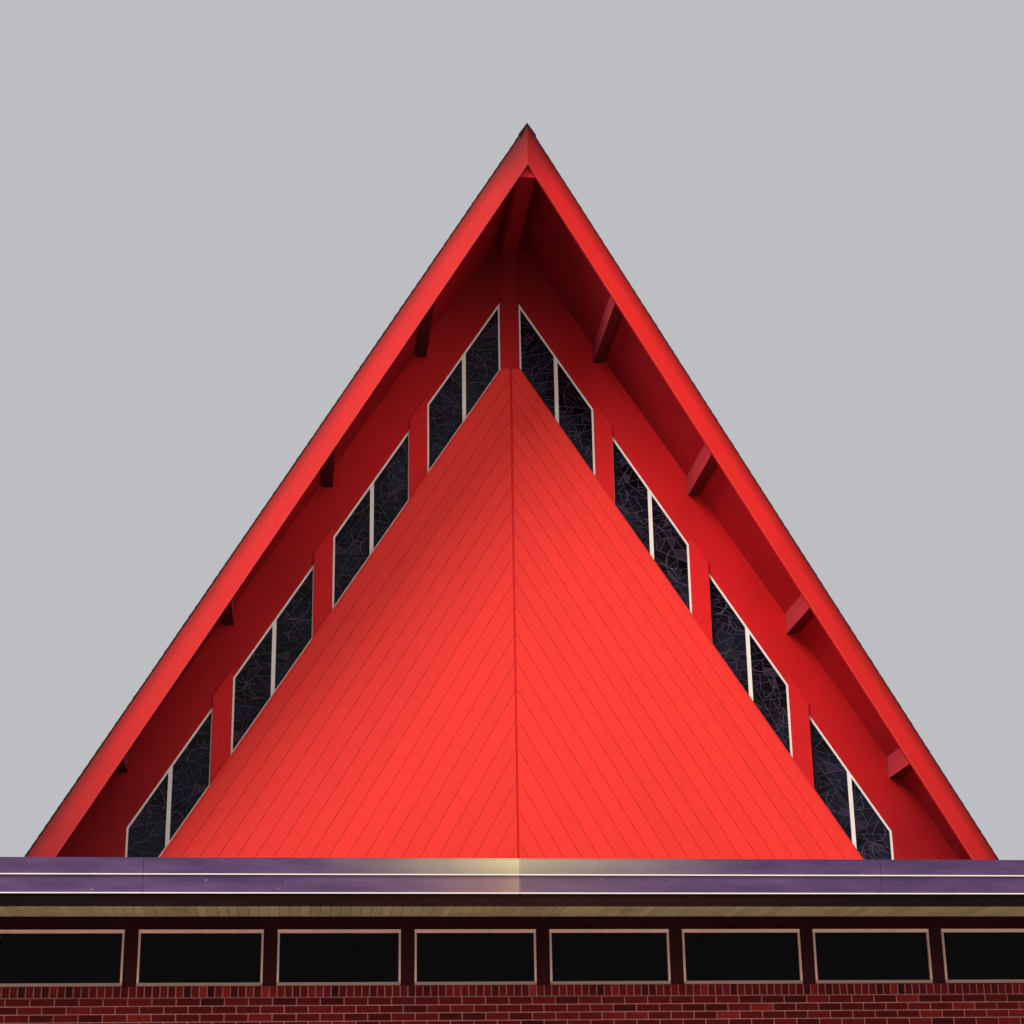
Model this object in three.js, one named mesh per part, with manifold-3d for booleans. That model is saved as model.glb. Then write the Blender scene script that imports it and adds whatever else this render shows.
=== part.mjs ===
// A-frame church with a low flat-roofed brick wing in front of the steep nave.
// Millimetres, X to the right of the front, Y from the front to the rear, Z up.
import * as THREE from 'three';
import { mergeVertices } from 'three/addons/utils/BufferGeometryUtils.js';
import Module from 'manifold-3d';

const wasm = await Module();
wasm.setup();

// Joint left between neighbouring pieces.
const GAP = 0.4;

// Wing: window row, brick and eave levels.
const MODULE = 1219.2;
const BAYS_FRONT = 11;
const BAYS_SIDE = 4;
const BRICK_TOP = 2235.2;
const SILL_TOP = 2336.8;
const SILL_PROUD = 15;
const WINDOW_TOP = 2828;
const HEADER_TOP = 2940;
const WINDOW_WIDTH = 1096;
const FRAME_BAR = 24;
const ROW_SHIFT = 119;
const WALL = 300;
const WING_HALF = 7315.2;
const WING_FACE = 690;
const EAVE_OUT = 690;
const BOARD_TOP = 3043;
const FASCIA_STEP = 3200;
const FASCIA_TOP = 3344;
const DECK_TOP = 3330;
const FLOOR_TOP = 150;

// Nave: steep roof over low brick walls.
const SLOPE = 1.5554;
const RIDGE_Z = 13454;
const ROOF_RISE = 200;
const EAVE_HALF = 7000;
const NAVE_HALF = 6553.2;
const GABLE_FACE = 6760;
const GABLE_SKIN = 60;
const GABLE_WALL = 200;
const NAVE_LENGTH = 18288;
const PROW = 0.2693;
const APEX_Y = 4445;
const BARGE_RISE = 568;
const BARGE_THICK = 50;
const BASE_WALL_Y = 6790.8;
const REAR_BASE_TOP = 3344;

// Gable windows and the boarded panel below them.
const SASH_LINE_Z = 12266;
const SASH_DROP = 1015;
const SASH_START = 130;
const SASH_WIDTH = 991;
const SASHES = 4;
const SASH_BAR = 24;
const SASH_MULLION = 50;
const SASH_SETBACK = 15;
const SASH_DEPTH = 85;
const PANE = 10;
const PANEL_THICK = 70;

// Beams that carry the overhang.
const PURLIN_FIRST = 1140;
const PURLIN_WIDTH = 130;
const PURLIN_DEPTH = 277;
const RIDGE_BEAM_HALF = 100;
const RIDGE_BEAM_Z = 12740;

// Doorway from the wing to the nave and the rear doors.
const DOORWAY_HALF = 1200;
const DOORWAY_TOP = 2500;
const DOOR_HALF = 915;
const DOOR_TOP = 2235.2;

const REAR_FACE = GABLE_FACE + NAVE_LENGTH;
const REAR_APEX_Y = REAR_FACE + (GABLE_FACE - APEX_Y);
const MIDDLE_Y = REAR_APEX_Y / 2;
const BACK_OF_WING = BASE_WALL_Y + WALL;

const group = new THREE.Group();
group.name = 'modern_church';

const paint = {
  red: new THREE.Color(0.83, 0.05, 0.04),
  crimson: new THREE.Color(0.42, 0.02, 0.03),
  brick: new THREE.Color(0.24, 0.05, 0.05),
  metal: new THREE.Color(0.22, 0.19, 0.33),
  tan: new THREE.Color(0.32, 0.27, 0.14),
  maroon: new THREE.Color(0.10, 0.02, 0.025),
  cream: new THREE.Color(0.72, 0.66, 0.55),
  pink: new THREE.Color(0.42, 0.27, 0.20),
  glass: new THREE.Color(0.02, 0.02, 0.04),
  shingle: new THREE.Color(0.09, 0.07, 0.06),
  concrete: new THREE.Color(0.45, 0.44, 0.42),
  wood: new THREE.Color(0.25, 0.12, 0.06),
};

function toManifold(geometry) {
  const bare = geometry.clone();
  bare.deleteAttribute('normal');
  bare.deleteAttribute('uv');
  const merged = mergeVertices(bare, 1e-3);
  const mesh = new wasm.Mesh({
    numProp: 3,
    vertProperties: new Float32Array(merged.attributes.position.array),
    triVerts: new Uint32Array(merged.index.array),
  });
  return new wasm.Manifold(mesh);
}

function toGeometry(solid) {
  const mesh = solid.getMesh();
  const geometry = new THREE.BufferGeometry();
  const points = new THREE.BufferAttribute(new Float32Array(mesh.vertProperties), 3);
  geometry.setAttribute('position', points);
  geometry.setIndex(new THREE.BufferAttribute(new Uint32Array(mesh.triVerts), 1));
  geometry.computeVertexNormals();
  return geometry;
}

function addPiece(name, geometry, colour, roughness = 0.6, metalness = 0) {
  geometry.translate(0, -MIDDLE_Y, 0);
  const material = new THREE.MeshStandardMaterial({ color: colour, roughness, metalness });
  const mesh = new THREE.Mesh(geometry, material);
  mesh.name = name;
  group.add(mesh);
}

function outline(points) {
  const shape = new THREE.Shape();
  shape.moveTo(points[0][0], points[0][1]);
  for (const [x, y] of points.slice(1)) {
    shape.lineTo(x, y);
  }
  shape.closePath();
  return shape;
}

// Upright prism: an X-Z outline between two values of Y.
function upright(points, y0, y1) {
  const geometry = new THREE.ExtrudeGeometry(outline(points), { depth: y1 - y0, bevelEnabled: false });
  geometry.rotateX(Math.PI / 2);
  geometry.translate(0, y1, 0);
  return geometry;
}

// Flat prism: an X-Y outline between two heights.
function flat(points, z0, z1) {
  const geometry = new THREE.ExtrudeGeometry(outline(points), { depth: z1 - z0, bevelEnabled: false });
  geometry.translate(0, 0, z0);
  return geometry;
}

function box(x0, x1, y0, y1, z0, z1) {
  const geometry = new THREE.BoxGeometry(x1 - x0, y1 - y0, z1 - z0);
  geometry.translate((x0 + x1) / 2, (y0 + y1) / 2, (z0 + z1) / 2);
  return geometry;
}

// The same prism with holes cut right through it.
function pierced(points, y0, y1, holes) {
  let solid = toManifold(upright(points, y0, y1));
  for (const hole of holes) {
    solid = solid.subtract(toManifold(upright(hole, y0 - 10, y1 + 10)));
  }
  return solid;
}

function rectangle(x0, x1, z0, z1) {
  return [[x0, z0], [x1, z0], [x1, z1], [x0, z1]];
}

function mirrorPoints(points, side) {
  const mirrored = points.map(([x, z]) => [side * x, z]);
  return side < 0 ? mirrored.reverse() : mirrored;
}

// Height of the roof's outer face over a point at this distance from the middle.
function roofTop(x) {
  return RIDGE_Z - SLOPE * Math.abs(x);
}

function roofUnder(x) {
  return roofTop(x) - ROOF_RISE;
}

function sashTop(x) {
  return SASH_LINE_Z - SLOPE * Math.abs(x);
}

// Turn a wall drawn on the front so that it stands along one side of the wing.
function toSide(geometry, side) {
  geometry.translate(0, -WING_FACE, 0);
  geometry.rotateZ(side * Math.PI / 2);
  const middle = (WING_FACE + BACK_OF_WING) / 2;
  geometry.translate(side * WING_HALF, middle, 0);
  return geometry;
}

function bayCentres(count, shift) {
  const centres = [];
  for (let bay = 0; bay < count; bay += 1) {
    centres.push((bay - (count - 1) / 2) * MODULE + shift);
  }
  return centres;
}

// Brick wall with an opening for the window row and a sill of bricks on edge.
function wingWall(halfWall, bays, shift) {
  const left = shift - bays * MODULE / 2;
  const right = shift + bays * MODULE / 2;
  const profile = [
    [-halfWall, 0], [halfWall, 0], [halfWall, HEADER_TOP], [right, HEADER_TOP],
    [right, SILL_TOP], [left, SILL_TOP], [left, HEADER_TOP], [-halfWall, HEADER_TOP],
  ];
  const wall = upright(profile, WING_FACE, WING_FACE + WALL);
  const sill = box(left, right, WING_FACE - SILL_PROUD, WING_FACE + 50, BRICK_TOP, SILL_TOP - 1);
  return toGeometry(toManifold(wall).add(toManifold(sill)));
}

// Surround with a raised frame round each window of the row.
function windowBand(bays, shift) {
  const row = bays * MODULE / 2 - GAP;
  const half = WINDOW_WIDTH / 2;
  const inner = half - FRAME_BAR;
  const bottom = SILL_TOP + GAP;
  const holes = [];
  for (const x of bayCentres(bays, shift)) {
    holes.push(rectangle(x - inner, x + inner, bottom + FRAME_BAR, WINDOW_TOP - FRAME_BAR));
  }
  const profile = rectangle(shift - row, shift + row, bottom, HEADER_TOP - GAP);
  let band = toManifold(upright(profile, WING_FACE + 30, WING_FACE + 80));
  for (const x of bayCentres(bays, shift)) {
    const outer = rectangle(x - half, x + half, bottom, WINDOW_TOP);
    band = band.add(toManifold(upright(outer, WING_FACE + 12, WING_FACE + 60)));
  }
  for (const hole of holes) {
    band = band.subtract(toManifold(upright(hole, WING_FACE, WING_FACE + 200)));
  }
  return toGeometry(band);
}

function rowGlass(bays, shift) {
  const row = bays * MODULE / 2 - 40;
  return box(shift - row, shift + row, WING_FACE + 80 + GAP, WING_FACE + 90, SILL_TOP + 5, HEADER_TOP - 20);
}

// U-shaped ring round the wing's front and sides, from one inset to another.
function eaveRing(outer, inner, z0, z1) {
  const x1 = WING_HALF + EAVE_OUT - outer;
  const x0 = WING_HALF + EAVE_OUT - inner;
  const back = BACK_OF_WING;
  const points = [
    [-x1, outer], [x1, outer], [x1, back], [x0, back],
    [x0, inner], [-x0, inner], [-x0, back], [-x1, back],
  ];
  return flat(points, z0, z1);
}

function addWing() {
  const rowFloor = WING_HALF - WALL - GAP;
  const floorFront = WING_FACE + WALL + GAP;
  addPiece('wing_floor', box(-rowFloor, rowFloor, floorFront, BASE_WALL_Y - GAP, 0, FLOOR_TOP), paint.concrete, 0.8);
  addPiece('wing_front_wall', wingWall(WING_HALF - WALL - GAP, BAYS_FRONT, ROW_SHIFT), paint.brick, 0.8);
  addPiece('wing_front_window_band', windowBand(BAYS_FRONT, ROW_SHIFT), paint.maroon, 0.5);
  addPiece('wing_front_glass', rowGlass(BAYS_FRONT, ROW_SHIFT), paint.glass, 0.1);
  const sideHalf = (BACK_OF_WING - WING_FACE) / 2;
  for (const side of [-1, 1]) {
    const word = side < 0 ? 'left' : 'right';
    addPiece(`wing_${word}_wall`, toSide(wingWall(sideHalf, BAYS_SIDE, 0), side), paint.brick, 0.8);
    addPiece(`wing_${word}_window_band`, toSide(windowBand(BAYS_SIDE, 0), side), paint.maroon, 0.5);
    addPiece(`wing_${word}_glass`, toSide(rowGlass(BAYS_SIDE, 0), side), paint.glass, 0.1);
  }
  const deckHalf = WING_HALF + EAVE_OUT - 64;
  const deck = box(-deckHalf, deckHalf, 64, BACK_OF_WING, HEADER_TOP + 20 + GAP, DECK_TOP);
  addPiece('wing_roof_deck', deck, paint.shingle, 0.9);
  const upper = toManifold(eaveRing(0, 62, FASCIA_STEP, FASCIA_TOP));
  const lower = toManifold(eaveRing(25, 62, BOARD_TOP + GAP, FASCIA_STEP + 1));
  addPiece('wing_fascia', toGeometry(upper.add(lower)), paint.metal, 0.35, 0.7);
  addPiece('wing_eave_board', eaveRing(38, 62, HEADER_TOP, BOARD_TOP), paint.maroon, 0.6);
  addPiece('wing_soffit', eaveRing(62 + GAP, EAVE_OUT - GAP, HEADER_TOP, HEADER_TOP + 20), paint.tan, 0.7);
}

// Brick wall between wing and nave, with the doorway in its middle.
function addBaseWalls() {
  const half = WING_HALF - WALL - GAP;
  const d = DOORWAY_HALF;
  const front = [
    [-half, 0], [-d, 0], [-d, DOORWAY_TOP], [d, DOORWAY_TOP],
    [d, 0], [half, 0], [half, HEADER_TOP], [-half, HEADER_TOP],
  ];
  addPiece('nave_front_base_wall', upright(front, BASE_WALL_Y, BACK_OF_WING), paint.brick, 0.8);
  const top = HEADER_TOP;
  const shoulder = (RIDGE_Z - ROOF_RISE - 2 - REAR_BASE_TOP) / SLOPE;
  const edge = roofUnder(NAVE_HALF) - 2;
  const h = DOOR_HALF + 40;
  const rear = [
    [-NAVE_HALF, 0], [-h, 0], [-h, DOOR_TOP], [h, DOOR_TOP], [h, 0], [NAVE_HALF, 0],
    [NAVE_HALF, edge], [shoulder, REAR_BASE_TOP], [-shoulder, REAR_BASE_TOP], [-NAVE_HALF, edge],
  ];
  addPiece('nave_rear_base_wall', upright(rear, REAR_FACE - WALL, REAR_FACE), paint.brick, 0.8);
  const y0 = BACK_OF_WING + GAP;
  const y1 = REAR_FACE - WALL - GAP;
  for (const side of [-1, 1]) {
    const inner = NAVE_HALF - WALL;
    const points = [
      [inner, 0], [NAVE_HALF, 0], [NAVE_HALF, roofUnder(NAVE_HALF) - 2], [inner, roofUnder(inner) - 2],
    ];
    const word = side < 0 ? 'left' : 'right';
    addPiece(`nave_${word}_wall`, upright(mirrorPoints(points, side), y0, y1), paint.brick, 0.8);
  }
  const floorHalf = NAVE_HALF - WALL - GAP;
  addPiece('nave_floor', box(-floorHalf, floorHalf, y0, y1, 0, FLOOR_TOP), paint.concrete, 0.8);
}

function addDoors() {
  const h = DOOR_HALF + 40 - GAP;
  const y0 = REAR_FACE - 120;
  const frame = [
    [-h, GAP], [-h + 50, GAP], [-h + 50, DOOR_TOP - 50], [h - 50, DOOR_TOP - 50],
    [h - 50, GAP], [h, GAP], [h, DOOR_TOP - GAP], [-h, DOOR_TOP - GAP],
  ];
  let doors = toManifold(upright(frame, y0 - 60, y0 + 30));
  doors = doors.add(toManifold(box(-h + 45, -4, y0 - 45, y0, 12, DOOR_TOP - 45)));
  doors = doors.add(toManifold(box(4, h - 45, y0 - 45, y0, 12, DOOR_TOP - 45)));
  doors = doors.add(toManifold(box(-30, 30, y0 - 48, y0 - 20, 14, DOOR_TOP - 48)));
  addPiece('rear_doors', toGeometry(doors), paint.wood, 0.5);
}

// Plan of half the roof between its two slanting ends, set back by an inset.
function roofPlan(x0, x1, inset) {
  return [
    [x0, APEX_Y + PROW * x0 + inset], [x1, APEX_Y + PROW * x1 + inset],
    [x1, REAR_APEX_Y - PROW * x1 - inset], [x0, REAR_APEX_Y - PROW * x0 - inset],
  ];
}

// The room under the roof in which the wing stands.
function wingKeepOut() {
  return toManifold(box(-9000, 9000, -500, BACK_OF_WING + GAP, -500, FASCIA_TOP + GAP));
}

function slopedBand(x0, x1, drop0, drop1) {
  return [
    [x0, roofTop(x0) - drop1], [x1, roofTop(x1) - drop1],
    [x1, roofTop(x1) - drop0], [x0, roofTop(x0) - drop0],
  ];
}

function addRoof() {
  for (const side of [-1, 1]) {
    const word = side < 0 ? 'left' : 'right';
    const band = slopedBand(GAP, EAVE_HALF, 0, ROOF_RISE);
    const prism = toManifold(upright(mirrorPoints(band, side), 0, REAR_APEX_Y + 100));
    const plan = mirrorPoints(roofPlan(GAP, EAVE_HALF, BARGE_THICK + GAP), side);
    const slab = prism.intersect(toManifold(flat(plan, 0, RIDGE_Z + 500)));
    addPiece(`roof_${word}`, toGeometry(slab.subtract(wingKeepOut())), paint.crimson, 0.8);
    addBarge(word, side, 'front');
    addBarge(word, side, 'rear');
  }
}

function addBarge(word, side, end) {
  const band = slopedBand(GAP, EAVE_HALF, 0, BARGE_RISE);
  const prism = toManifold(upright(mirrorPoints(band, side), 0, REAR_APEX_Y + 100));
  const outer = roofPlan(GAP, EAVE_HALF, 0);
  const inner = roofPlan(GAP, EAVE_HALF, BARGE_THICK);
  const strip = end === 'front'
    ? [outer[0], outer[1], inner[1], inner[0]]
    : [inner[3], inner[2], outer[2], outer[3]];
  const board = prism.intersect(toManifold(flat(mirrorPoints(strip, side), 0, RIDGE_Z + 500)));
  addPiece(`${end}_barge_${word}`, toGeometry(board.subtract(wingKeepOut())), paint.red, 0.5);
}

// Section of a plumb beam under the roof, its top cut to the slope.
function purlinSection(x, grow) {
  const near = x - grow;
  const far = x + PURLIN_WIDTH + grow;
  const foot = roofUnder(x) - PURLIN_DEPTH - grow;
  const top = (at) => roofUnder(at) - 2 * GAP + 2 * grow;
  return [[near, top(near)], [near, foot], [far, foot], [far, top(far)]];
}

function beamStart(x) {
  return APEX_Y + PROW * x + BARGE_THICK + GAP;
}

function ridgeSection(grow) {
  const half = RIDGE_BEAM_HALF + grow;
  const edge = roofUnder(half) - 2 * GAP;
  const foot = RIDGE_BEAM_Z - grow;
  return [[-half, foot], [half, foot], [half, edge], [0, roofUnder(0) - 2 * GAP], [-half, edge]];
}

function addBeams() {
  const y0 = beamStart(RIDGE_BEAM_HALF);
  addPiece('ridge_beam', upright(ridgeSection(0), y0, REAR_APEX_Y - (y0 - APEX_Y)), paint.crimson, 0.6);
  for (const side of [-1, 1]) {
    const word = side < 0 ? 'left' : 'right';
    for (let index = 0; index < SASHES; index += 1) {
      const x = PURLIN_FIRST + index * MODULE;
      const start = beamStart(x + PURLIN_WIDTH);
      const points = mirrorPoints(purlinSection(x, 0), side);
      const beam = upright(points, start, REAR_APEX_Y - (start - APEX_Y));
      addPiece(`purlin_${word}_${index + 1}`, beam, paint.crimson, 0.6);
    }
  }
}

function sashOutline(index, inset) {
  const x0 = SASH_START + index * MODULE;
  const x1 = x0 + SASH_WIDTH;
  const slant = inset * Math.hypot(1, SLOPE);
  const top = (x) => sashTop(x) - slant;
  const bottom = (x) => sashTop(x) - SASH_DROP + slant;
  const a = x0 + inset;
  const b = x1 - inset;
  return [[a, bottom(a)], [b, bottom(b)], [b, top(b)], [a, top(a)]];
}

// One layer of a gable wall with its windows, cut out where the beams pass.
function gableLayer(y0, y1, bottomZ) {
  const half = (RIDGE_Z - ROOF_RISE - 3 - bottomZ) / SLOPE;
  const holes = [];
  for (const side of [-1, 1]) {
    for (let index = 0; index < SASHES; index += 1) {
      holes.push(mirrorPoints(sashOutline(index, 0), side));
    }
  }
  const profile = [[-half, bottomZ], [half, bottomZ], [0, RIDGE_Z - ROOF_RISE - 3]];
  let wall = pierced(profile, y0, y1, holes);
  wall = wall.subtract(toManifold(upright(ridgeSection(GAP), y0 - 10, y1 + 10)));
  for (const side of [-1, 1]) {
    for (let index = 0; index < SASHES; index += 1) {
      const x = PURLIN_FIRST + index * MODULE;
      const cut = upright(mirrorPoints(purlinSection(x, 2.5), side), y0 - 10, y1 + 10);
      wall = wall.subtract(toManifold(cut));
    }
  }
  return wall;
}

// Slanting strip that holds the windows of one slope.
function sashBand(grow) {
  const x0 = SASH_START - grow;
  const x1 = SASH_START + (SASHES - 1) * MODULE + SASH_WIDTH + grow;
  return [
    [x0, sashTop(x0) - SASH_DROP - grow], [x1, sashTop(x1) - SASH_DROP - grow],
    [x1, sashTop(x1) + grow], [x0, sashTop(x0) + grow],
  ];
}

// Frames of the four windows on one slope, joined by two rails in the wall.
function sashStrip(side, depthToY) {
  const solid = (points, d0, d1, holes = []) => {
    const ends = [depthToY(d0), depthToY(d1)].sort((a, b) => a - b);
    const cuts = holes.map((hole) => mirrorPoints(hole, side));
    return pierced(mirrorPoints(points, side), ends[0], ends[1], cuts);
  };
  const rails = [];
  const [a, b, c, d] = sashBand(-GAP);
  const width = 60;
  const up = ([x, z]) => [x, z + width];
  const down = ([x, z]) => [x, z - width];
  rails.push([a, b, up(b), up(a)], [down(d), down(c), c, d]);
  let strip = null;
  for (const rail of rails) {
    const bar = solid(rail, GABLE_SKIN + GAP, SASH_DEPTH);
    strip = strip ? strip.add(bar) : bar;
  }
  for (let index = 0; index < SASHES; index += 1) {
    const outer = sashOutline(index, GAP);
    const inner = sashOutline(index, SASH_BAR);
    strip = strip.subtract(solid(outer, 0, GABLE_WALL));
    strip = strip.add(solid(outer, SASH_SETBACK, SASH_DEPTH, [inner]));
    strip = strip.add(solid(mullion(index), SASH_SETBACK + 5, SASH_DEPTH - 5));
  }
  return toGeometry(strip);
}

function mullion(index) {
  const middle = SASH_START + index * MODULE + SASH_WIDTH / 2;
  const left = middle - SASH_MULLION / 2;
  const right = middle + SASH_MULLION / 2;
  const low = (x) => sashTop(x) - SASH_DROP + SASH_BAR;
  const high = (x) => sashTop(x) - SASH_BAR;
  return [[left, low(left)], [right, low(right)], [right, high(right)], [left, high(left)]];
}

function panelOutline(side, bottomZ) {
  const apex = SASH_LINE_Z - SASH_DROP;
  const x0 = GAP;
  const x1 = (apex - bottomZ) / SLOPE;
  return mirrorPoints([[x0, bottomZ], [x1, bottomZ], [x0, apex - SLOPE * x0]], side);
}

function addGable(end) {
  const front = end === 'front';
  const face = front ? GABLE_FACE : REAR_FACE;
  const depthToY = (depth) => (front ? face + depth : face - depth);
  const layer = (d0, d1) => {
    const ends = [depthToY(d0), depthToY(d1)].sort((a, b) => a - b);
    return gableLayer(ends[0], ends[1], front ? DECK_TOP + GAP : REAR_BASE_TOP + GAP);
  };
  const glassFace = SASH_DEPTH + GAP;
  const pocket = glassFace + PANE + GAP;
  let lining = layer(GABLE_SKIN + GAP, GABLE_WALL);
  for (const side of [-1, 1]) {
    const ends = [depthToY(0), depthToY(pocket)].sort((a, b) => a - b);
    const band = upright(mirrorPoints(sashBand(20), side), ends[0], ends[1]);
    lining = lining.subtract(toManifold(band));
  }
  addPiece(`${end}_gable_wall`, toGeometry(layer(0, GABLE_SKIN)), paint.crimson, 0.6);
  addPiece(`${end}_gable_lining`, toGeometry(lining), paint.crimson, 0.6);
  for (const side of [-1, 1]) {
    const word = side < 0 ? 'left' : 'right';
    const p0 = front ? face - PANEL_THICK : face + GAP;
    const panel = upright(panelOutline(side, FASCIA_TOP + GAP), p0, p0 + PANEL_THICK - GAP);
    const glass = [depthToY(glassFace), depthToY(glassFace + PANE)].sort((a, b) => a - b);
    const sheet = upright(mirrorPoints(sashBand(-5), side), glass[0], glass[1]);
    addPiece(`${end}_boarding_${word}`, panel, paint.red, 0.6);
    addPiece(`${end}_windows_${word}`, sashStrip(side, depthToY), paint.cream, 0.5);
    addPiece(`${end}_gable_glass_${word}`, sheet, paint.glass, 0.1);
  }
}

addWing();
addBaseWalls();
addDoors();
addRoof();
addBeams();
addGable('front');
addGable('rear');

export default group;
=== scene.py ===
"""Looks for the A-frame church: brick, boards, shingles, leaded glass and metal eaves round the CAD frame."""

import math
import random

import bpy
from mathutils import Matrix, Vector


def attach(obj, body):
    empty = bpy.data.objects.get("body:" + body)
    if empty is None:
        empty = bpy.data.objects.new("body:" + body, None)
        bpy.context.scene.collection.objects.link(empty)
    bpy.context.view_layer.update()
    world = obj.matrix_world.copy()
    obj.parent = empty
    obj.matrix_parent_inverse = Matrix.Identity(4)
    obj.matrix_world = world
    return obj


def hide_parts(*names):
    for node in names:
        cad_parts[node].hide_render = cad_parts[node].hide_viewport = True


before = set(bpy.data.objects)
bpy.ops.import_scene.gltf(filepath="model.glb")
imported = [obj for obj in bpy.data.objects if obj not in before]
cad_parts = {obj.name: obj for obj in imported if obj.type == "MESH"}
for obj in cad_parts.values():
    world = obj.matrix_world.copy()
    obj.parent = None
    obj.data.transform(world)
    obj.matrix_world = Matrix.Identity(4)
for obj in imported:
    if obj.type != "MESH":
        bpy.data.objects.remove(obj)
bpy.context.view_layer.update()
rng = random.Random(11)

# Sizes in metres, as in the CAD source. Y is counted from the wing's fascia. GAP is the joint between solids,
# MODULE a window bay, and RAKE the length of slope for a metre across.
MIDDLE_Y = 13.6815
GAP = 0.0004
MODULE = 1.2192
SILL_Z, SILL_TOP, WINDOW_TOP, HEADER_TOP = 2.2352, 2.3368, 2.828, 2.940
WINDOW_W, ROW_SHIFT = 1.096, 0.119
WALL = 0.3
WING_HALF, WING_FACE, EAVE_OUT = 7.3152, 0.690, 0.690
WING_BACK = 7.0908
DOORWAY_HALF, DOORWAY_TOP = 1.2, 2.5
BOARD_TOP, FASCIA_STEP, FASCIA_TOP = 3.043, 3.200, 3.344
SLOPE, RIDGE_Z, ROOF_RISE = 1.5554, 13.454, 0.200
RAKE = math.hypot(1, SLOPE)
EAVE_HALF, NAVE_HALF = 7.0, 6.5532
GABLE_FACE, REAR_FACE = 6.760, 25.048
PROW, APEX_Y = 0.2693, 4.445
REAR_APEX_Y = 27.363
BARGE_RISE = 0.568
SASH_LINE_Z, SASH_DROP, SASH_START, SASH_WIDTH = 12.266, 1.015, 0.130, 0.991
SASH_BAR, SASH_MULLION = 0.024, 0.050
SASHES = 4
GLASS_DEPTH = 0.034
PANEL_THICK = 0.070
DOOR_HALF, DOOR_TOP = 0.915, 2.2352
FRONT_BAYS, SIDE_BAYS = 11, 4
SIDES = ((-1, "left"), (1, "right"))

# Camera worked out from the photograph; angles in radians, and the sensor in millimetres.
CAMERA_PLACE = (-2.7125, -16.607, 0.583)
CAMERA_PITCH, CAMERA_YAW, CAMERA_ROLL = 0.3443, 0.1153, 0.0161
FOCAL_PIXELS, PICTURE_PIXELS = 1900, 1024
SENSOR, CAMERA_REACH = 36, 1000

# Floor, sky and lamps; a lamp has a name, a direction, a strength, its angle across and a colour.
FLOOR_HALF, FLOOR_DROP = 400, 0.002
SKY_COLOUR, SKY_STRENGTH = (0.88, 0.89, 0.92, 1), 0.58
LAMPS = (("key", (0.60, 0.64, -0.6), 3.20, 30, (1.0, 0.97, 0.94)),
         ("fill", (-0.40, 0.82, 0.0), 0.70, 80, (1.0, 0.97, 0.96)))


def row(point):
    """A point with Y counted from the fascia, in the row frame."""
    return (point[0], point[1] - MIDDLE_Y, point[2])


def add_object(name, data):
    thing = bpy.data.objects.new(name, data)
    bpy.context.scene.collection.objects.link(thing)
    return thing


# Materials


def linear(srgb):
    """Colour of 0-255 screen values as linear light."""
    levels = [value / 255 for value in srgb]
    return (*(c / 12.92 if c <= 0.04045 else ((c + 0.055) / 1.055) ** 2.4 for c in levels), 1.0)


def new_material(name):
    material = bpy.data.materials.new(name)
    material.use_nodes = True
    tree = material.node_tree
    tree.nodes.clear()
    shader = add(tree, "BsdfPrincipled", {})
    add(tree, "OutputMaterial", {0: shader.outputs[0]})
    return material, tree, shader


def fill(tree, node, inputs):
    """Gives each input, by name or number, a value or a link from another node's output."""
    for name, value in inputs.items():
        if isinstance(value, bpy.types.NodeSocket):
            tree.links.new(value, node.inputs[name])
        else:
            node.inputs[name].default_value = value


def add(tree, kind, inputs):
    node = tree.nodes.new("ShaderNode" + kind)
    fill(tree, node, inputs)
    return node


def object_coords(tree, scale=(1, 1, 1)):
    coords = add(tree, "TexCoord", {})
    return add(tree, "Mapping", {"Scale": scale, "Vector": coords.outputs["Object"]}).outputs[0]


def noise(tree, vector, scale, detail=4.0, roughness=0.55):
    inputs = {"Scale": scale, "Detail": detail, "Roughness": roughness, "Vector": vector}
    return add(tree, "TexNoise", inputs).outputs["Fac"]


def ramp(tree, fac, stops):
    node = add(tree, "ValToRGB", {0: fac})
    elements = node.color_ramp.elements
    while len(elements) < len(stops):
        elements.new(0.5)
    for element, stop in zip(elements, stops):
        element.position, element.color = stop
    return node.outputs[0]


def span(tree, fac, low, high, from_low=0.0, from_high=1.0):
    inputs = {"From Min": from_low, "From Max": from_high, "To Min": low, "To Max": high, "Value": fac}
    return add(tree, "MapRange", inputs).outputs[0]


def mix(tree, fac, a, b, blend="MIX"):
    node = tree.nodes.new("ShaderNodeMix")
    node.data_type = "RGBA"
    node.blend_type = blend
    fill(tree, node, {0: fac, 6: a, 7: b})
    return node.outputs[2]


def bump(tree, shader, height, strength, distance):
    node = add(tree, "Bump", {"Strength": strength, "Distance": distance, "Height": height})
    tree.links.new(node.outputs[0], shader.inputs["Normal"])


def tone_of(tree):
    node = tree.nodes.new("ShaderNodeAttribute")
    node.attribute_name = "tone"
    return node.outputs["Fac"]


def shade(colour, factor):
    return (*(level * factor for level in colour[:3]), 1.0)


def greys(*stops):
    """Ramp stops of plain grey."""
    return [(place, (level, level, level, 1)) for place, level in stops]


def colours(*stops):
    """Ramp stops of screen colours."""
    return [(place, linear(srgb)) for place, srgb in stops]


def blot(tree, colour, mask, amount, low, high, srgb):
    """Lays a second colour over the first, by up to an amount, as the mask goes from low to high."""
    return mix(tree, span(tree, mask, 0.0, amount, low, high), colour, linear(srgb))


def darken(tree, colour, axis, stops):
    """Multiplies a colour by factors at places along an axis, in metres: painted light and shade, the painted
    shade a little bluer.
    """
    split = add(tree, "SeparateXYZ", {0: object_coords(tree)})
    first, last = stops[0][0], stops[-1][0]
    place = span(tree, split.outputs[axis], 0.0, 1.0, first, last)
    length = last - first
    painted_stops = [((at - first) / length, (factor, factor ** 0.6, factor ** 0.3, 1)) for at, factor in stops]
    return mix(tree, 1.0, colour, ramp(tree, place, painted_stops), "MULTIPLY")


def darken_below(tree, colour, factor):
    """Painted shade on faces that look down."""
    geometry = add(tree, "NewGeometry", {})
    split = add(tree, "SeparateXYZ", {0: geometry.outputs["Normal"]})
    grey = ramp(tree, span(tree, split.outputs["Z"], 0.0, 1.0, -0.95, -0.5), greys((0.0, factor), (1.0, 1)))
    return mix(tree, 1.0, colour, grey, "MULTIPLY")


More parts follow.
